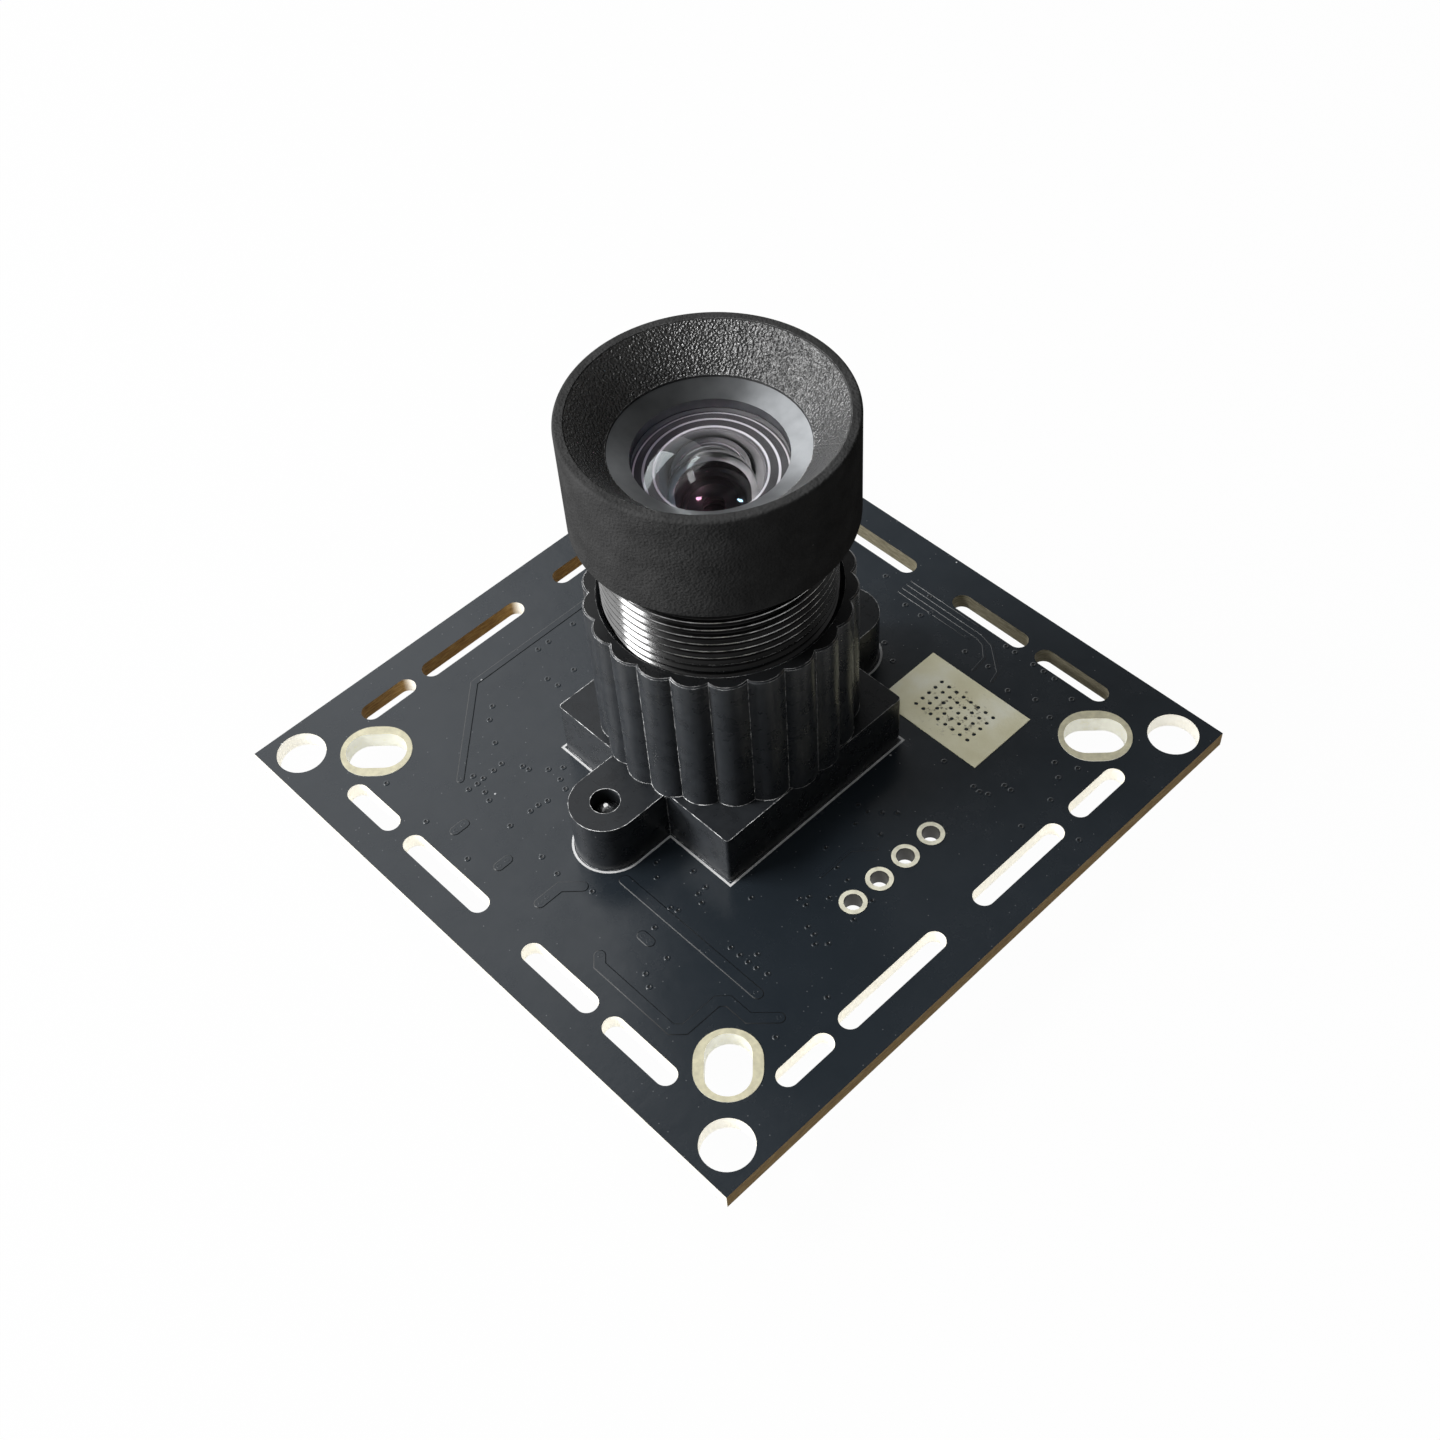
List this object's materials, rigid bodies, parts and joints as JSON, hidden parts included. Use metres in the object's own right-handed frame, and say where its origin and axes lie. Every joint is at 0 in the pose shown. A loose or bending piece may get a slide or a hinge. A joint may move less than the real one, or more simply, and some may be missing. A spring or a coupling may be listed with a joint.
{
  "type": "camera module",
  "caption": "Square board camera module: a fluted moulded lens holder screwed to a snap-off circuit board, with a hooded lens that screws in and out to focus.",
  "frame": {"origin": "centre of the circuit board's back face, on the lens axis and in the middle of the corner holes", "axes": "+Z along the lens axis, the way the lens looks; X and Y along the board's sides, with the open header holes on the +X side"},
  "size_m": [0.038, 0.038, 0.0288],
  "materials": {
    "solder_mask_board": "satin dark solder mask over glass laminate",
    "plated_holes": "pale plated metal, slightly uneven",
    "tinned_pad": "dull cream tin",
    "black_moulding": "satin black moulded plastic",
    "screw_steel": "bright zinc",
    "sensor_ceramic": "matte dark ceramic",
    "sensor_silicon": "smooth, faint iridescence",
    "clear_glass": "clear, polished",
    "black_barrel": "black anodised, finely blasted, glossy on the stem",
    "satin_ring": "satin grey",
    "black_spacers": "matte black anodised",
    "coated_glass": "polished with coloured coating reflections",
    "filter_glass": "pale blue-green filter glass",
    "chip_moulding": "matte black epoxy",
    "tinned_leads": "bright tin",
    "crystal_can": "satin metal lid",
    "ferrite": "dull grey ferrite",
    "capacitor_ceramic": "smooth tan ceramic with tin ends",
    "resistor_ceramic": "black coated ceramic with tin ends",
    "connector_nylon": "natural cream nylon"
  },
  "bodies": {
    "board": {"pcb": "solder_mask_board", "slot_hole_plating": "plated_holes", "header_hole_plating": "plated_holes", "heat_pad": "tinned_pad", "lens_holder": "black_moulding", "holder_screws": "screw_steel", "image_sensor": "sensor_ceramic", "sensor_die": "sensor_silicon", "sensor_cover_glass": "clear_glass", "video_processor": "chip_moulding", "flash_memory": "chip_moulding", "voltage_regulators": "chip_moulding", "processor_terminals": "tinned_leads", "flash_leads": "tinned_leads", "regulator_leads": "tinned_leads", "connector_contacts": "tinned_leads", "connector_tabs": "tinned_leads", "clock_crystal": "crystal_can", "power_inductors": "ferrite", "ceramic_capacitors": "capacitor_ceramic", "chip_resistors": "resistor_ceramic", "cable_connector": "connector_nylon"},
    "focus_carriage": {"infrared_filter": "filter_glass"},
    "lens": {"lens_barrel": "black_barrel", "front_retaining_ring": "satin_ring", "front_element": "coated_glass", "front_spacer": "black_spacers", "second_element": "coated_glass", "third_element": "coated_glass", "middle_spacer": "black_spacers", "aperture_stop": "black_spacers", "fourth_element": "coated_glass", "fifth_element": "coated_glass", "rear_spacer": "black_spacers", "rear_element": "coated_glass", "rear_retaining_ring": "black_spacers"}
  },
  "joints": [
    {"name": "focus_travel", "type": "slide", "parent": "board", "child": "focus_carriage", "axis": [0, 0, 1], "range_m": [-0.003, 0.005]},
    {"name": "focus_turn", "type": "hinge", "parent": "focus_carriage", "child": "lens", "pos_m": [0, 0, 0], "axis": [0, 0, 1], "range_deg": [-2161, 3601]}
  ],
  "couplings": [
    {"joint": "focus_turn", "follows": "focus_travel", "rad_per_m": 12566}
  ]
}
